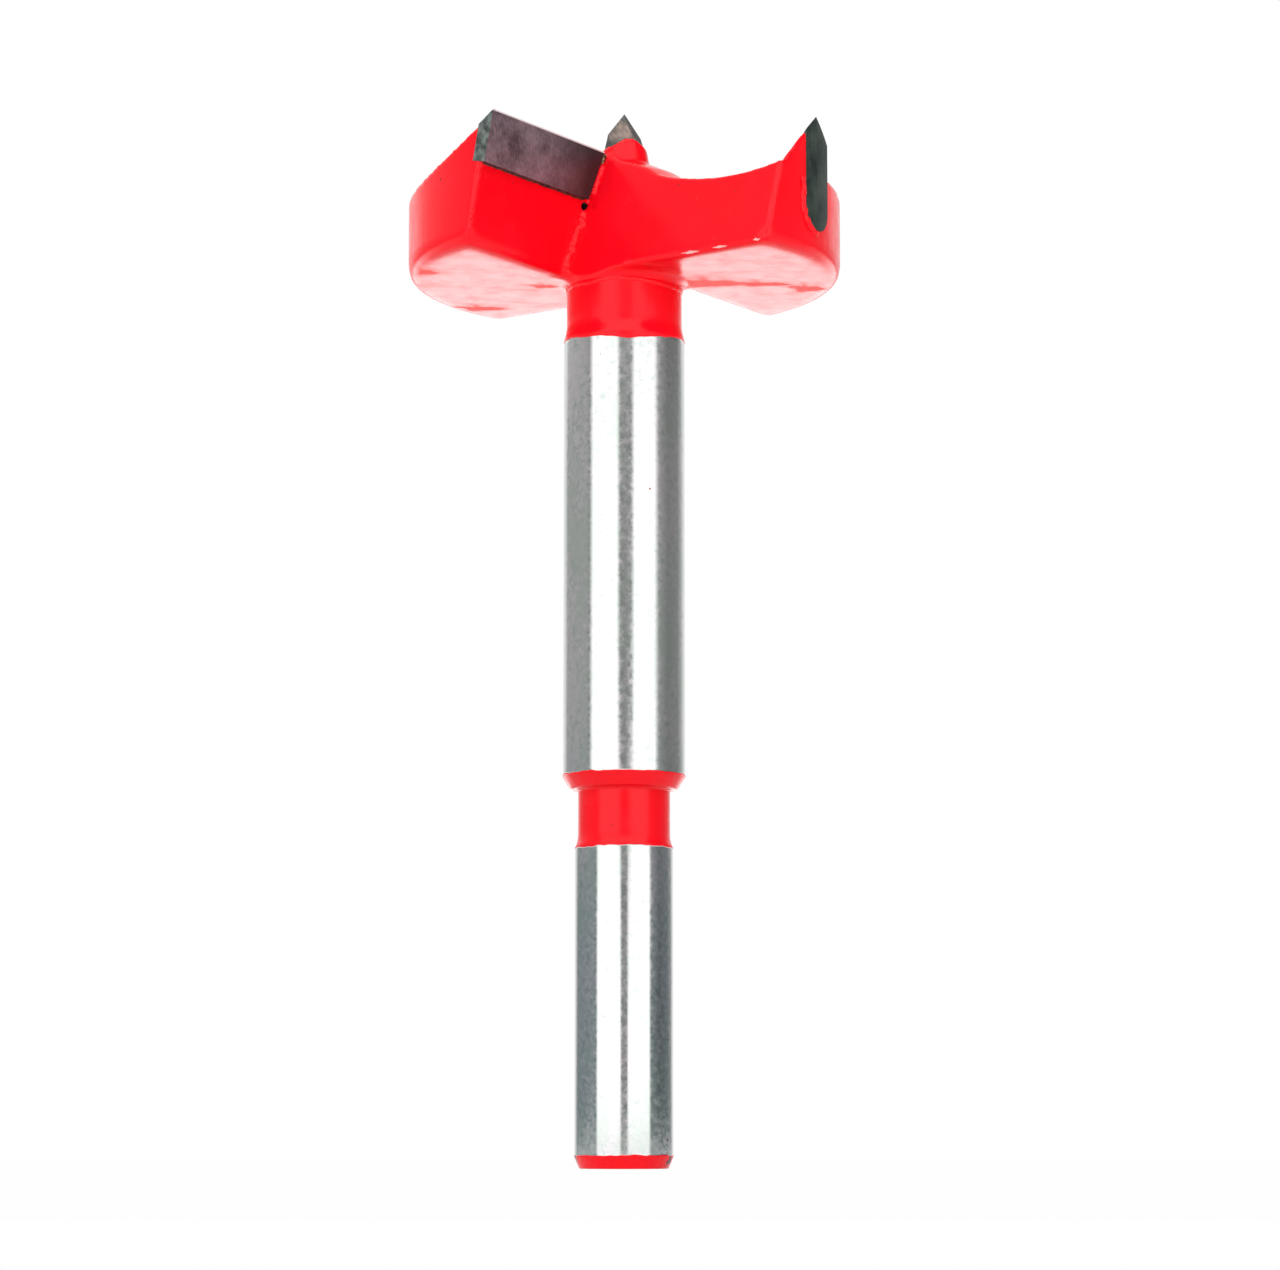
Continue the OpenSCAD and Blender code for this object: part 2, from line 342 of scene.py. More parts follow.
def ground_steel():
    """Bright ground steel with fine rings from grinding, faint scratches, stains and red specks."""
    made, tree, shader, place = new_material("ground_steel")
    rings = noise_of(tree, place, 1.0, detail=4.0, roughness=0.6, stretch=(6, 6, 0.05))
    mottle = noise_of(tree, place, 1.6, detail=4.0, roughness=0.65)
    tint = ramp(tree, mottle, [(0.32, STEEL_DARK), (0.5, STEEL_MID), (0.68, STEEL_LIGHT)])
    stain = noise_of(tree, place, 0.22, detail=5.0, roughness=0.7, stretch=(1, 1, 2.5))
    tint = blend(tree, span(tree, stain, 0.49, 0.6, to_high=0.75), tint, STEEL_GREEN)
    tint = blend(tree, span(tree, stain, 0.47, 0.36, to_high=0.75), tint, STEEL_PINK)
    flecks = specks(tree, place, per_mm=0.3, size=0.035, share=0.25)
    tint = blend(tree, flecks, tint, STEEL_FLECK)
    tree.links.new(tint, shader.inputs["Base Color"])
    shader.inputs["Metallic"].default_value = 1.0
    tree.links.new(span(tree, mottle, 0.3, 0.7, to_low=0.06, to_high=0.2), shader.inputs["Roughness"])
    scratches = noise_of(tree, place, 1.0, detail=2.0, stretch=(0.09, 0.09, 3.0), turn=(0.5, 0.3, 0))
    relief = maths(tree, "ADD", rings, maths(tree, "ADD", mottle, scratches))
    bump(tree, shader, relief, 0.0007)
    return made


def plate_tones(tree, place, tone, dark, end_tone):
    """A plate's tones: painted shade darkening it towards its inner end, mottled on its outer end, with a
    painted highlight along its top edge.
    """
    spot = add_node(tree, "ShaderNodeSeparateXYZ", {"Vector": place})
    # Painted shade: the plate grows darker towards its inner end by the hub
    painted_shade_inward = span(tree, maths(tree, "ABSOLUTE", spot.outputs["X"]), 13.0, 5.5, to_high=0.95)
    tone = blend(tree, painted_shade_inward, tone, [0.35 * part for part in dark])
    normal = add_node(tree, "ShaderNodeNewGeometry").outputs["True Normal"]
    outward = add_node(tree, "ShaderNodeSeparateXYZ", {"Vector": normal}).outputs["X"]
    mottle = noise_of(tree, place, 1.3, detail=4.0, roughness=0.6)
    shades = [(stop, [share * part for part in end_tone]) for stop, share in ((0.38, 0.4), (0.62, 1.7))]
    at_end = span(tree, maths(tree, "ABSOLUTE", outward), 0.6, 0.7)
    tone = blend(tree, at_end, tone, ramp(tree, mottle, shades))
    # A painted highlight along the plate's top edge
    return blend(tree, span(tree, spot.outputs["Z"], EDGE_Z - 0.16, EDGE_Z - 0.1), tone, PLATE_EDGE_HIGHLIGHT)


def carbide(name, dark, light, turn, metallic, end_tone=None, worn_spots=()):
    """Sintered carbide, stained and ground with fine slanted marks; end_tone is for a plate, which also
    gets painted shade and a painted highlight.
    """
    made, tree, shader, place = new_material(name)
    marks = noise_of(tree, place, 1.2, detail=4.0, roughness=0.6, stretch=(0.12, 0.12, 2.5), turn=turn)
    stain = noise_of(tree, place, 0.35, detail=4.0, roughness=0.6)
    worn = maths(tree, "MULTIPLY", maths(tree, "ADD", marks, stain), 0.5)
    tone = ramp(tree, worn, [(0.38, dark), (0.62, light)])
    if end_tone:
        tone = plate_tones(tree, place, tone, dark, end_tone)
    for spot in worn_spots:
        pale = ramp(tree, marks, [(0.35, WORN_DARK), (0.65, WORN_LIGHT)])
        rubbed = patch(tree, place, spot, WORN_SIZE, stretch=1.0, turn=0.0, soft=0.45)
        tone = blend(tree, rubbed, tone, pale)
    tree.links.new(tone, shader.inputs["Base Color"])
    shader.inputs["Metallic"].default_value = metallic
    tree.links.new(span(tree, marks, 0.3, 0.7, to_low=0.32, to_high=0.5), shader.inputs["Roughness"])
    bump(tree, shader, marks, 0.008)
    return made


def stained_metal(name, dark, light, metallic):
    """Bare metal with an uneven stain: the braze and its flux; near black for the drilled corners, as
    painted shade inside the holes.
    """
    made, tree, shader, place = new_material(name)
    stain = noise_of(tree, place, 2.2, detail=4.0)
    tree.links.new(ramp(tree, stain, [(0.35, dark), (0.65, light)]), shader.inputs["Base Color"])
    shader.inputs["Metallic"].default_value = metallic
    tree.links.new(span(tree, stain, 0.3, 0.7, to_low=0.55, to_high=0.35), shader.inputs["Roughness"])
    bump(tree, shader, stain, 0.02)
    return made


PAINT = red_paint()
STEEL = ground_steel()
# Near black inside the drilled holes: painted shade for their depth
HOLE_SHADE = stained_metal("drilled_corner", (0.012, 0.006, 0.006), (0.05, 0.03, 0.03), 0.0)
BRAZE = stained_metal("braze", (0.1, 0.05, 0.03), (0.55, 0.4, 0.2), 0.9)
FLUX = stained_metal("flux", (0.02, 0.008, 0.008), (0.14, 0.06, 0.05), 0.3)


def wave(angle, seed, amount):
    """Height of a wavy paint edge round the bit at that angle."""
    coarse = Vector((COARSE_WAVE * math.cos(angle), COARSE_WAVE * math.sin(angle), seed))
    fine = Vector((FINE_WAVE * math.cos(angle), FINE_WAVE * math.sin(angle), seed + FINE_SHIFT))
    return amount * (noise.noise(coarse) + FINE_SHARE * noise.noise(fine))


def new_piece(name, mesh_data, materials):
    """An object of the bit in the row frame."""
    made = bpy.data.objects.new(name, mesh_data)
    bpy.context.scene.collection.objects.link(made)
    for material in materials:
        made.data.materials.append(material)
    return made


def with_supports(rings):
    """The rings with one more near each end of a long band, which keeps smooth shading at the corners."""
    made = []
    for low, high in zip(rings, rings[1:]):
        made.append(low)
        radius, height, low_wave, band = low
        wider, taller, high_wave = high[0] - radius, high[1] - height, high[2]
        length = math.hypot(wider, taller)
        if length > LONG_BAND:
            for share, amount in ((SUPPORT / length, low_wave), (1 - SUPPORT / length, high_wave)):
                made.append((radius + wider * share, height + taller * share, amount, band))
    return made + [rings[-1]]


def lathe(name, rings, materials):
    """A turned surface. A ring is its radius, height and wave, and the material of the band above it."""
    work = bmesh.new()
    rings = with_supports(rings)
    loops = []
    for radius, height, amount, _ in rings:
        loop = []
        for k in range(SEGMENTS):
            angle = 2 * math.pi * k / SEGMENTS
            lift = wave(angle, round(height), amount) if amount else 0
            spot = Vector((radius * math.cos(angle), radius * math.sin(angle), height + lift))
            loop.append(work.verts.new(spot * MM))
        loops.append(loop)
    work.faces.new(reversed(loops[0]))
    work.faces.new(loops[-1])
    for (low, high), ring in zip(zip(loops, loops[1:]), rings):
        for k in range(SEGMENTS):
            nxt = (k + 1) % SEGMENTS
            face = work.faces.new((low[k], low[nxt], high[nxt], high[k]))
            face.material_index = ring[3]
            face.smooth = True
    mesh_data = bpy.data.meshes.new(name)
    work.to_mesh(mesh_data)
    work.free()
    return new_piece(name, mesh_data, materials)


def paint_step(radius, height):
    """Rings where a painted chamfer rolls over onto a cylinder, and the paint ends on bare steel."""
    return [
        (radius + PAINT_T - ROLL_IN, height - ROLL_H, EDGE_WAVE, PAINTED),
        (radius + PAINT_T, height, EDGE_WAVE, PAINTED),
        (radius, height + STEP_H, EDGE_WAVE, BARE),
    ]


def groove_rings():
    """Rings of the painted groove: its run-out from the shank, and the fillet below the shaft."""
    rings = []
    for k in range(1, GROOVE_STEPS + 1):
        share = k / GROOVE_STEPS
        ease = 1 - (1 - share) ** 3
        radius = SHANK_R + (GROOVE_R - SHANK_R) * ease + PAINT_T
        rings.append((radius, SHANK_LEN + GROOVE_RUNOUT * share, 0, PAINTED))
    for k in range(GROOVE_STEPS + 1):
        turn = math.pi / 2 * k / GROOVE_STEPS
        radius = GROOVE_R + GROOVE_FILLET * (1 - math.cos(turn)) + PAINT_T
        rings.append((radius, SHAFT_Z - GROOVE_FILLET + GROOVE_FILLET * math.sin(turn), 0, PAINTED))
    return rings


def stem_rings():
    """Rings of the stem from the shank end up into the neck."""
    end = SHANK_R - SHANK_CHAMFER
    rings = [(end - CORNER_IN, 0.0, 0, PAINTED), (end + END_PAINT_T, CORNER_H, 0, PAINTED)]
    rings += paint_step(SHANK_R, SHANK_CHAMFER_H)
    rings.append((SHANK_R, SHANK_LEN - STEP_H, EDGE_WAVE, PAINTED))
    rings.append((SHANK_R + PAINT_T, SHANK_LEN, EDGE_WAVE, PAINTED))
    rings += groove_rings()
    corner = SHAFT_R - SHAFT_CHAMFER
    rings.append((corner - CORNER_IN, SHAFT_Z, 0, PAINTED))
    rings.append((corner + PAINT_T, SHAFT_Z + CORNER_H, 0, PAINTED))
    rings += paint_step(SHAFT_R, SHAFT_Z + SHAFT_CHAMFER_H)
    for inward, above in STEM_TOP:
        rings.append((SHAFT_R - inward, NECK_Z + above, 0, BARE))
    return rings


def edge_point(x, y, z):
    """A point in the frame of wing A's edge: x out along the edge, y out of the face, z up the face."""
    back = y * math.cos(RAKE) + z * math.sin(RAKE)
    return Vector((x, back, EDGE_Z - y * math.sin(RAKE) + z * math.cos(RAKE)))


def wall_x(z):
    """Distance from the axis to the trailing wall, at that height up the face of wing A."""
    height = EDGE_Z + z * math.cos(RAKE)
    return HUB_REACH - (height - HEAD_Z) * math.tan(WALL_LEAN)


def half_turns():
    """The turns that carry a feature of wing A to both wings."""
    return [Matrix.Rotation(turn, 4, "Z") for turn in (0, math.pi)]


def join_mesh(work, mesh_data, inset):
    """Adds a CAD mesh to the work mesh, shrunk to its middle and along its normals by inset millimetres."""
    other = bmesh.new()
    other.from_mesh(mesh_data)
    bmesh.ops.remove_doubles(other, verts=other.verts[:], dist=WELD)
    bmesh.ops.recalc_face_normals(other, faces=other.faces[:])
    middle = sum((v.co for v in other.verts), Vector()) / len(other.verts)
    half = max((v.co - middle).length for v in other.verts)
    for vert in other.verts:
        vert.co = middle + (vert.co - middle) * (1 - inset * MM / half)
        vert.co -= vert.normal * inset * MM
    moved = bpy.data.meshes.new("moved")
    other.to_mesh(moved)
    other.free()
    work.from_mesh(moved)
    bpy.data.meshes.remove(moved)


def apply_modifiers(piece):
    """Puts a piece's modifiers into its mesh."""
    graph = bpy.context.evaluated_depsgraph_get()
    piece.data = bpy.data.meshes.new_from_object(piece.evaluated_get(graph))
    piece.modifiers.clear()


def cut_below(work, height):
    """Takes away all below that height in millimetres and returns the edges of the cut."""
    cut = bmesh.ops.bisect_plane(
        work,
        geom=work.verts[:] + work.edges[:] + work.faces[:],
        plane_co=(0, 0, height * MM),
        plane_no=(0, 0, -1),
        clear_outer=True,
    )
    return [g for g in cut["geom_cut"] if isinstance(g, bmesh.types.BMEdge)]


def smooth(work, verts, passes):
    """Moves vertices towards their neighbours, that many times."""
    for _ in range(passes):
        bmesh.ops.smooth_vert(
            work,
            verts=verts,
            factor=0.5,
            use_axis_x=True,
            use_axis_y=True,
            use_axis_z=True,
        )


def soften_corners(work):
    """Rounds the internal corner between each leading face and trailing wall, as thick paint does."""
    low_z = (HEAD_Z - EDGE_Z) / math.cos(RAKE)
    ends = [edge_point(wall_x(z), -PLATE_PROUD, z) for z in (-CORNER_START, low_z)]
    for spin in half_turns():
        top, foot = (spin @ end for end in ends)
        run = foot - top
        near = []
        for vert in work.verts:
            share = (vert.co / MM - top).dot(run) / run.length_squared
            away = (vert.co / MM - top - run * min(max(share, 0), 1)).length
            if away < CORNER_REACH:
                near.append(vert)
        smooth(work, near, CORNER_PASSES)


def soften_undersides(work):
    """Rounds the bottom edges of the wings."""
    near = []
    for vert in work.verts:
        out = math.hypot(vert.co.x, vert.co.y) / MM
        if out > UNDER_START and abs(vert.co.z / MM - HEAD_Z) < UNDER_REACH:
            near.append(vert)
    smooth(work, near, UNDER_PASSES)


def drill_corners(piece):
    """Drills the corner below the inner end of each plate."""
    work = bmesh.new()
    along = edge_point(0, 1, 0) - edge_point(0, 0, 0)
    lie = Vector((0, 0, 1)).rotation_difference(along).to_matrix().to_4x4()
    middle = edge_point(
        wall_x(-HOLE_DROP) + HOLE_ASIDE,
        (HOLE_FRONT - HOLE_DEPTH) / 2 - PLATE_PROUD,
        -HOLE_DROP,
    )
    for spin in half_turns():
        bmesh.ops.create_cone(
            work,
            cap_ends=True,
            segments=HOLE_SIDES,
            radius1=HOLE_R * MM,
            radius2=HOLE_R * MM,
            depth=(HOLE_FRONT + HOLE_DEPTH) * MM,
            matrix=spin @ Matrix.Translation(middle * MM) @ lie,
        )
    mesh_data = bpy.data.meshes.new("drill")
    work.to_mesh(mesh_data)
    work.free()
    # The holes' walls take the drill's near black material: painted shade inside them
    drill = new_piece("drill", mesh_data, [HOLE_SHADE])
    cut = piece.modifiers.new("drill", "BOOLEAN")
    cut.operation = "DIFFERENCE"
    cut.solver = "EXACT"
    cut.material_mode = "TRANSFER"
    cut.object = drill
    apply_modifiers(piece)
    bpy.data.objects.remove(drill)


def rough_head():
    """The CAD head and neck as one piece, with the carbides joined to it a little undersize."""
    work = bmesh.new()
    work.from_mesh(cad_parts["body"].data)
    bmesh.ops.remove_doubles(work, verts=work.verts[:], dist=WELD)
    bmesh.ops.holes_fill(work, edges=cut_below(work, NECK_Z - NECK_SPARE))
    for name in CARBIDES:
        join_mesh(work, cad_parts[name].data, CARBIDE_INSET)
    rough = bpy.data.meshes.new("rough")
    work.to_mesh(rough)
    work.free()
    rough.materials.clear()
    return new_piece("painted_head", rough, [PAINT])


def even_grid(piece):
    """Remeshes a piece on an even grid and smooths it."""
    remesh = piece.modifiers.new("grid", "REMESH")
    remesh.mode = "VOXEL"
    remesh.voxel_size = PAINT_GRID * MM
    soft = piece.modifiers.new("soft", "SMOOTH")
    soft.factor = 0.5
    soft.iterations = PAINT_PASSES
    apply_modifiers(piece)


def neck_edge(work):
    """Ends the paint on the neck in a wavy line that hangs lowest at NECK_RUN_TURN and opposite it."""
    cut_below(work, NECK_Z)
    for vert in work.verts:
        above = vert.co.z / MM - NECK_Z
        if above < NECK_REACH:
            angle = math.atan2(vert.co.y, vert.co.x)
            run = NECK_RUN * (1 + math.cos(2 * (angle - NECK_RUN_TURN))) / 2
            lift = wave(angle, round(NECK_Z), EDGE_WAVE) - run
            vert.co.z += lift * (1 - above / NECK_REACH) * MM
            least = SHAFT_R + PAINT_T - NECK_SLOPE * max(0, vert.co.z / MM - NECK_Z)
            out = max(1, least * MM / math.hypot(vert.co.x, vert.co.y))
            vert.co.x *= out
            vert.co.y *= out


def close_lip(work):
    """Turns the lower edge of the paint in under the shaft's surface, edge by edge in a fixed order."""
    inner = {}
    for edge in [e for e in work.edges if e.is_boundary]:
        for vert in edge.verts:
            if vert not in inner:
                flat = Vector((vert.co.x, vert.co.y, 0)).normalized() * (SHAFT_R - LIP_IN) * MM
                inner[vert] = work.verts.new((flat.x, flat.y, vert.co.z - LIP_DROP * MM))
        loop = edge.link_loops[0]
        start = loop.vert
        end = loop.link_loop_next.vert
        work.faces.new((end, start, inner[start], inner[end]))


def painted_head():
    """The head and neck under their coat of paint: the CAD body's head with paint-soft edges."""
    made = rough_head()
    even_grid(made)
    work = bmesh.new()
    work.from_mesh(made.data)
    soften_corners(work)
    soften_undersides(work)
    work.normal_update()
    for vert in work.verts:
        vert.co += vert.normal * PAINT_T * MM
    work.to_mesh(made.data)
    work.free()
    drill_corners(made)
    work = bmesh.new()
    work.from_mesh(made.data)
    neck_edge(work)
    close_lip(work)
    for face in work.faces:
        face.smooth = True
    work.to_mesh(made.data)
    work.free()
    return made


def bead(name, points, radius, rough, material):
    """A bead along points of wing A, in millimetres, and again on wing B; rough says how ragged it is."""
    work = bmesh.new()
    for spin in half_turns():
        loops = []
        for k, point in enumerate(points):
            ahead = points[min(k + 1, len(points) - 1)] - points[max(k - 1, 0)]
            across = ahead.cross(Vector((0, 1, 0))).normalized()
            up = across.cross(ahead).normalized()
            inner = min(k, len(points) - 1 - k)
            loop = []
            for side in range(BEAD_SIDES):
                angle = 2 * math.pi * side / BEAD_SIDES
                out = across * math.cos(angle) + up * math.sin(angle)
                ragged = 1 + rough * noise.noise(spin @ point * BEAD_GRAIN + out * BEAD_GRAIN_ROUND)
                spot = point + out * radius * ragged * min(1, BEAD_TIP + BEAD_TAPER * inner)
                loop.append(work.verts.new(spin @ spot * MM))
            loops.append(loop)
        work.faces.new(reversed(loops[0]))
        work.faces.new(loops[-1])
        for low, high in zip(loops, loops[1:]):
            for side in range(BEAD_SIDES):
                nxt = (side + 1) % BEAD_SIDES
                face = work.faces.new((low[side], low[nxt], high[nxt], high[side]))
                face.smooth = True
    bmesh.ops.recalc_face_normals(work, faces=work.faces[:])
    mesh_data = bpy.data.meshes.new(name)
    work.to_mesh(mesh_data)
    work.free()
    return new_piece(name, mesh_data, [material])


def path(count, place):
    """Points of a path; place gives the point at a share of its length."""
    return [place(k / count) for k in range(count + 1)]


def bottom_line(share):
    """Along the bottom edge of a plate, from its inner end."""
    short_of_rim, proud, below = 0.3, 0.16, 0.06
    start = wall_x(-PLATE_H) + PLATE_END_GAP / math.cos(WALL_LEAN)
    x = start + (RIM_R - short_of_rim - start) * share
    return edge_point(x, proud - PLATE_PROUD, -PLATE_H - below)


def end_line(top, bottom, aside):
    """Beside the inner end of a plate, from top to bottom, that far from the trailing wall."""
    proud = 0.35

    def place(share):
        z = top + (bottom - top) * share
        return edge_point(wall_x(z) + aside, proud - PLATE_PROUD, z)

    return place


def foot_line(share):
    """Down the trailing side of a tooth and round its foot, just outside it."""
    outside = 0.5
    outline = SPUR_HALF_W + outside
    straight = 3.0
    run = share * (straight + outline * math.pi / 2)
    turn = max(0, run - straight) / outline
    side = -outline * math.cos(turn)
    height = SPUR_FOOT_Z + straight - min(run, straight) - outline * math.sin(turn)
    angle = SPUR_TURN + math.asin(side / RIM_R)
    return Vector((RIM_R * math.cos(angle), RIM_R * math.sin(angle), height))


def rim_line(top, bottom):
    """Down the outer edge of the leading face, from top to bottom."""
    inside, sunk = 0.12, 0.06

    def place(share):
        z = top + (bottom - top) * share
        back = edge_point(0, -PLATE_PROUD, z).y
        return edge_point(math.sqrt(RIM_R * RIM_R - back * back) - inside, -sunk - PLATE_PROUD, z)

    return place


def corner_line(share):
    """Down the internal corner of the leading face and the trailing wall, below the drilled hole."""
    raised, aside, proud = 0.3, 0.14, 0.14
    low_z = (HEAD_Z - EDGE_Z) / math.cos(RAKE)
    z = raised - CORNER_START + (low_z + CORNER_START) * share
    return edge_point(wall_x(z) + aside, proud - PLATE_PROUD, z)


def wall_foot(share):
    """Along the bottom edge of the trailing wall."""
    inside, start, length, above = 0.15, 7.5, 13, 0.24
    return Vector((HUB_REACH - inside, start + length * share, HEAD_Z + above))


def neck_line(share):
    """Half round the neck and a little more, at the foot of its fillet."""
    overlap, below, swing, inside = 0.2, 1, 0.15, 0.34
    angle = -overlap + (math.pi + 2 * overlap) * share
    height = HEAD_Z - below + swing * math.sin(3 * angle)
    radius = NECK_R - inside
    return Vector((radius * math.cos(angle), radius * math.sin(angle), height))


head = painted_head()
stem = lathe("ground_stem", stem_rings(), [PAINT, STEEL])
for piece in (head, stem):
    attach(piece, "root")
    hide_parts("body")

# Beads on each wing: name, path, radius, how ragged, and material
BEADS = (
    ("flux_line", path(110, bottom_line), 0.15, 0.6, FLUX),
    ("braze_fillet", path(14, end_line(-0.1, -1.3, 0.12)), 0.25, 0.6, BRAZE),
    ("paint_run", path(30, end_line(-1.2, 0.35 - PLATE_H, -0.08)), 0.54, 0.45, PAINT),
    ("paint_lip", path(40, foot_line), 0.34, 0.6, PAINT),
    ("paint_edge", path(40, rim_line(-PLATE_H - 0.3, -10.5)), 0.13, 0.6, PAINT),
    ("paint_drop", path(8, rim_line(-10.5, -11.3)), 0.28, 0.6, PAINT),
    ("paint_corner", path(40, corner_line), 0.64, 0.6, PAINT),
    ("paint_foot", path(80, wall_foot), 0.2, 0.6, PAINT),
    ("paint_neck", path(120, neck_line), 0.5, 0.16, PAINT),
)
for bead_name, points, radius, rough, finish in BEADS:
    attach(bead(bead_name, points, radius, rough, finish), "root")

plate_finish = carbide(
    "ground_carbide",
    dark=(0.062, 0.046, 0.054),
    light=(0.265, 0.2, 0.23),
    turn=(0, 0.6, 0),
    metallic=0.35,
    end_tone=(0.1, 0.118, 0.108),
)
spur_finish = carbide(
    "spur_carbide",
    dark=(0.0, 0.014, 0.01),
    light=(0.085, 0.115, 0.095),
    turn=(0, 0, 0),
    metallic=0.6,
)
point_finish = carbide(
    "point_carbide",
    dark=(0.04, 0.046, 0.042),
    light=(0.17, 0.165, 0.15),
    turn=(0.6, 0, 0),
    metallic=1.0,
    worn_spots=WORN_SPOTS,
)
FINISHES = {"main": plate_finish, "spur": spur_finish, "centre": point_finish}
for name in CARBIDES:
    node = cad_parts[name]
    node.data.materials.clear()
    node.data.materials.append(FINISHES[name.split("_")[0]])
    edge = node.modifiers.new("edge", "BEVEL")
    edge.width = GROUND_EDGE * MM
    edge.segments = 2
    edge.limit_method = "ANGLE"


# Camera: its turn round the bit from +X, aim, distance and height in metres, and lens
CAMERA_TURN = math.radians(35.41)
CAMERA_YAW = math.radians(-0.26)
CAMERA_PITCH = math.radians(7.18)
CAMERA_REACH = 0.3589
CAMERA_H = 0.00255
CAMERA_LENS = 99.2
CAMERA_SENSOR = 36.0
CAMERA_SHIFT = 0.05
CAMERA_NEAR = 0.01

# Floor: radius in metres, sides, tone, and the share of it that is plain white to the camera
FLOOR_R = 0.24
FLOOR_SIDES = 96
FLOOR_TONE = (0.92, 0.92, 0.92, 1)
FLOOR_WHITE = 0.96

WHITE = (1, 1, 1, 1)
SOFT_BOX = (1.9, 1.9, 1.9)


def grey(value, warm=1.0):
    """A grey of that brightness; warm below 1 turns it towards green and blue."""
    return (value * warm, value, value * (2 - warm) ** 0.5)


# Layers of the studio: the heights between which each takes over, and its stops of (degrees, brightness)
STUDIO = (
    # Below the horizon: the sweep runs forward under the bit
    (-1, -1, (
        (-180, grey(3.1)), (-148, grey(3.1)), (-120, grey(1.2)), (-75, grey(0.9)),
        (-40, grey(2.4)), (40, grey(2.4)), (75, grey(0.9)), (112, grey(0.5)),
        (136, grey(1.8)), (150, grey(3.1)), (180, grey(3.1)),
    )),
    # At the horizon, where the shank looks
    (-0.1, -0.02, (
        (-180, grey(0.6)), (-148, grey(0.5)), (-135, grey(0.32, 0.86)), (-75, grey(0.37, 0.86)),
        (-68, grey(0.28, 0.86)), (-64, SOFT_BOX), (-8.5, SOFT_BOX), (-6.5, grey(0.36)),
        (7.5, grey(0.36)), (10, SOFT_BOX), (61, SOFT_BOX), (65, grey(0.34, 0.88)),
        (90, grey(0.17, 0.86)), (122, grey(0.24, 0.86)), (150, grey(0.5)), (180, grey(0.6)),
    )),
    # Where the shaft looks
    (0.06, 0.12, (
        (-180, grey(1.0)), (-148, grey(0.9)), (-135, grey(0.5)), (-75, grey(0.53)),
        (-69, grey(0.34)), (-61, SOFT_BOX), (-14, SOFT_BOX), (-8, grey(0.4)),
        (13, grey(0.4)), (20, SOFT_BOX), (58, SOFT_BOX), (69, grey(0.46)), (90, grey(0.3)),
        (122, grey(0.34)), (136, grey(0.6)), (150, grey(0.9)), (180, grey(1.0)),
    )),
    # Where the rims and the neck look
    (0.2, 0.25, (
        (-180, grey(1.8)), (-148, grey(1.7)), (-135, grey(0.8)), (-75, grey(0.5)),
        (-67, grey(0.4)), (-63, grey(1.5)), (-12, grey(1.5)), (-9, grey(0.6)),
        (15, grey(0.6)), (18, grey(1.5)), (62, grey(1.5)), (66, grey(0.45)), (90, grey(0.22)),
        (122, grey(0.22)), (136, grey(0.5)), (150, grey(1.5)), (180, grey(1.8)),
    )),
    # Above the sweep
    (0.38, 0.48, (
        (-180, grey(0.25)), (-135, grey(0.4)), (-75, grey(0.55)), (-67, grey(0.5)),
        (-63, SOFT_BOX), (62, SOFT_BOX), (66, grey(0.35)), (90, grey(0.09)),
        (150, grey(0.09)), (180, grey(0.25)),
    )),
    # Overhead
    (0.7, 0.9, (
        (-180, grey(0.5)), (-100, grey(0.8)), (-60, grey(1.1)), (50, grey(1.1)),
        (90, grey(0.12)), (150, grey(0.12)), (180, grey(0.5)),
    )),
)

# Brightness that a full colour of the studio's ramps stands for
STUDIO_TOP = 3.5

# Where the white backdrop begins: turns away from the camera, and heights
BACKDROP_TURNS = (math.radians(142), math.radians(154))
BACKDROP_HEIGHTS = (-0.03, 0.0)


def seen_rays(tree):
    """Camera rays, and the glossy and transmission rays that carry a mirrored background."""
    rays = add_node(tree, "ShaderNodeLightPath").outputs
    mirrored = maths(tree, "MAXIMUM", rays["Is Glossy Ray"], rays["Is Transmission Ray"])
    return rays["Is Camera Ray"], mirrored


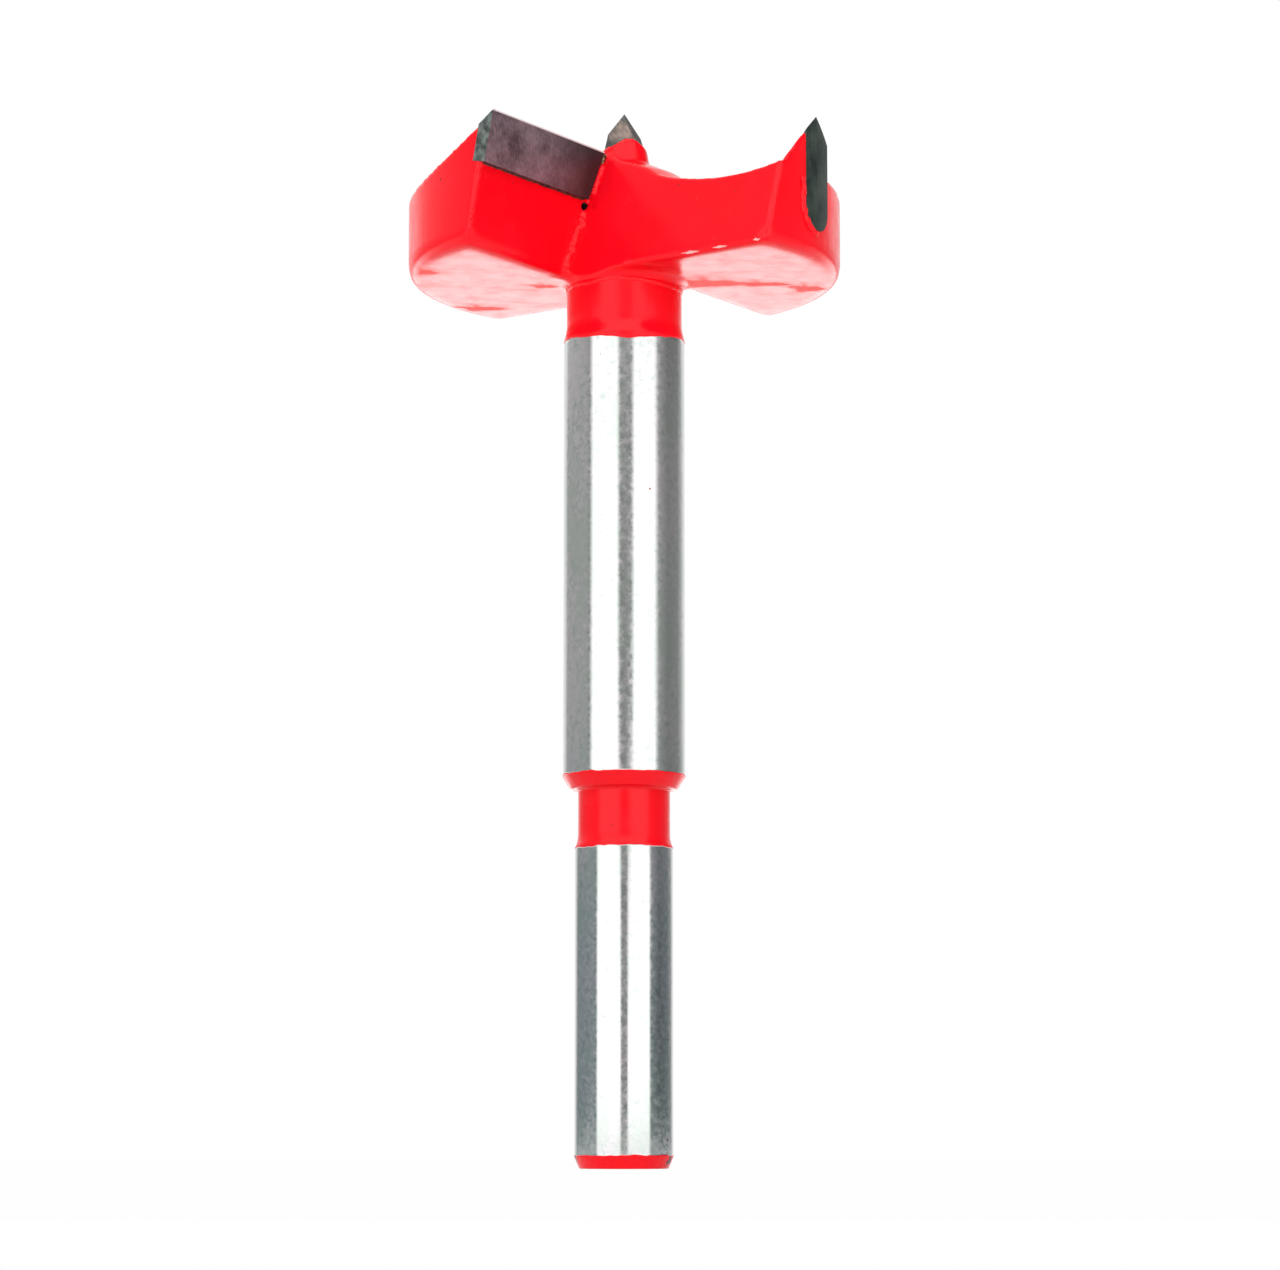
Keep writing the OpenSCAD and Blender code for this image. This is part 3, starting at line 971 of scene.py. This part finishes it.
def studio_world():
    """Two soft boxes in front with a gap between them, dim sides, and a white backdrop behind.

    A layer's heights are sines of the elevation, and its degrees run to the right from the camera.
    """
    world = bpy.data.worlds.new("studio")
    bpy.context.scene.world = world
    world.use_nodes = True
    tree = world.node_tree
    tree.nodes.clear()
    way = add_node(tree, "ShaderNodeTexCoord").outputs["Generated"]
    turned = add_node(
        tree,
        "ShaderNodeVectorRotate",
        {"Vector": way, "Angle": -CAMERA_TURN},
        rotation_type="Z_AXIS",
    )
    axes = add_node(tree, "ShaderNodeSeparateXYZ", {"Vector": turned.outputs["Vector"]})
    bearing = maths(tree, "ARCTAN2", axes.outputs["Y"], axes.outputs["X"])
    share = span(tree, bearing, -math.pi, math.pi)
    light = None
    for low, high, stops in STUDIO:
        shades = [((turn + 180) / 360, [part / STUDIO_TOP for part in shade]) for turn, shade in stops]
        around = ramp(tree, share, shades)
        if light:
            light = blend(tree, span(tree, axes.outputs["Z"], low, high), light, around)
        else:
            light = around
    lit = add_node(tree, "ShaderNodeBackground", {"Color": light, "Strength": STUDIO_TOP})
    white = add_node(tree, "ShaderNodeBackground", {"Color": WHITE, "Strength": 1.0})
    direct, mirrored = seen_rays(tree)
    behind = span(tree, maths(tree, "ABSOLUTE", bearing), *BACKDROP_TURNS)
    backdrop = maths(tree, "MULTIPLY", behind, span(tree, axes.outputs["Z"], *BACKDROP_HEIGHTS))
    seen = maths(tree, "ADD", direct, maths(tree, "MULTIPLY", mirrored, backdrop))
    mix = add_node(tree, "ShaderNodeMixShader", {0: seen, 1: lit.outputs[0], 2: white.outputs[0]})
    out = add_node(tree, "ShaderNodeOutputWorld")
    tree.links.new(mix.outputs[0], out.inputs["Surface"])


def pale_floor():
    """A pale round floor that is white to the camera and in metal, and keeps the shadow of the bit."""
    work = bmesh.new()
    bmesh.ops.create_circle(work, cap_ends=True, radius=FLOOR_R, segments=FLOOR_SIDES)
    mesh_data = bpy.data.meshes.new("floor")
    work.to_mesh(mesh_data)
    work.free()
    made = bpy.data.materials.new("pale_floor")
    made.use_nodes = True
    tree = made.node_tree
    tree.nodes.clear()
    matt = add_node(tree, "ShaderNodeBsdfDiffuse", {"Color": FLOOR_TONE})
    white = add_node(tree, "ShaderNodeEmission", {"Color": WHITE, "Strength": 1.0})
    direct, mirrored = seen_rays(tree)
    seen = maths(tree, "MULTIPLY", maths(tree, "MAXIMUM", direct, mirrored), FLOOR_WHITE)
    mix = add_node(tree, "ShaderNodeMixShader", {0: seen, 1: matt.outputs[0], 2: white.outputs[0]})
    out = add_node(tree, "ShaderNodeOutputMaterial")
    tree.links.new(mix.outputs[0], out.inputs["Surface"])
    floor = new_piece("floor", mesh_data, [made])


def photo_camera():
    """The photograph's camera: low in front of the bit, looking a little up at the head."""
    lens = bpy.data.cameras.new("camera")
    lens.lens = CAMERA_LENS
    lens.sensor_width = CAMERA_SENSOR
    lens.shift_y = CAMERA_SHIFT
    lens.clip_start = CAMERA_NEAR
    camera = bpy.data.objects.new("camera", lens)
    bpy.context.scene.collection.objects.link(camera)
    camera.location = (
        CAMERA_REACH * math.cos(CAMERA_TURN),
        CAMERA_REACH * math.sin(CAMERA_TURN),
        CAMERA_H,
    )
    heading = CAMERA_TURN + math.pi + CAMERA_YAW
    camera.rotation_euler = (math.pi / 2 + CAMERA_PITCH, 0, heading - math.pi / 2)
    bpy.context.scene.camera = camera


studio_world()
pale_floor()
photo_camera()
bpy.context.scene.view_settings.view_transform = "Standard"
